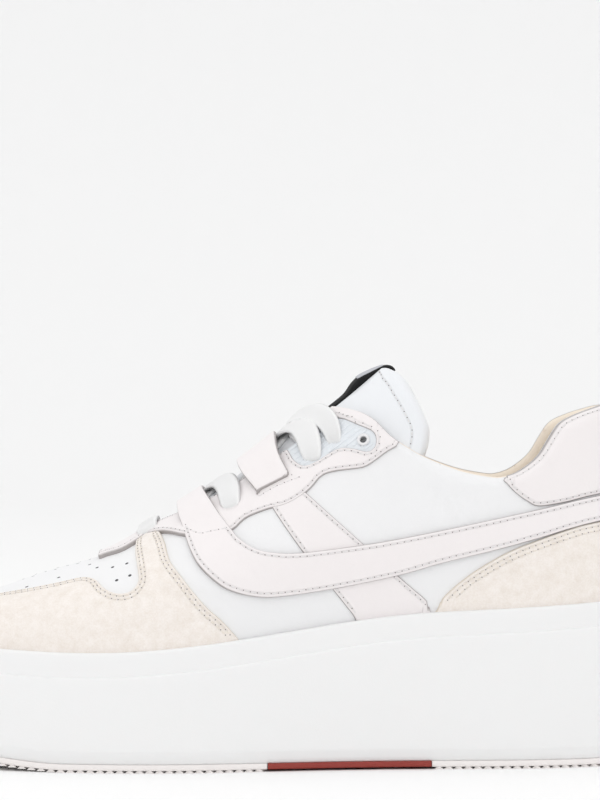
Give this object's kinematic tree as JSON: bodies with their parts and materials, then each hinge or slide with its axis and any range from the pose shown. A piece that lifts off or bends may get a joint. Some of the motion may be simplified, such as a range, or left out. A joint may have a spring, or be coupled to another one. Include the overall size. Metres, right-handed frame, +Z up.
{
  "type": "platform sneaker",
  "caption": "Low lace-up sneaker for the left foot on a thick platform cupsole, with a hollow leather upper, suede toe and heel overlays, a padded tongue and flat laces.",
  "frame": {"origin": "middle of the shoe's bounding box, on the floor plane under the tread", "axes": "-X towards the toe and +X towards the heel, -Y the outer (lateral) side, +Y the inner (medial) side, +Z up"},
  "size_m": [0.2788, 0.1042, 0.1448],
  "materials": {
    "tread_rubber": "matt off-white rubber",
    "red_rubber": "matt brick-red rubber",
    "foam_rubber": "smooth moulded off-white foam rubber",
    "footbed_cloth": "brushed textile over foam",
    "white_leather": "smooth, low sheen",
    "pink_leather": "smooth, low sheen, faint pink white",
    "suede": "cream suede",
    "webbing": "black woven",
    "lace_cotton": "flat ribbed white"
  },
  "bodies": {
    "root": {"outsole_forefoot": "tread_rubber", "outsole_waist": "red_rubber", "outsole_heel": "tread_rubber", "midsole": "foam_rubber", "insole": "footbed_cloth", "upper": "white_leather", "tongue": "white_leather", "tongue_tab": "webbing", "toe_guard": "suede", "heel_counter": "suede", "side_band": "pink_leather", "keeper_strap": "pink_leather", "laces": "lace_cotton"}
  },
  "joints": []
}
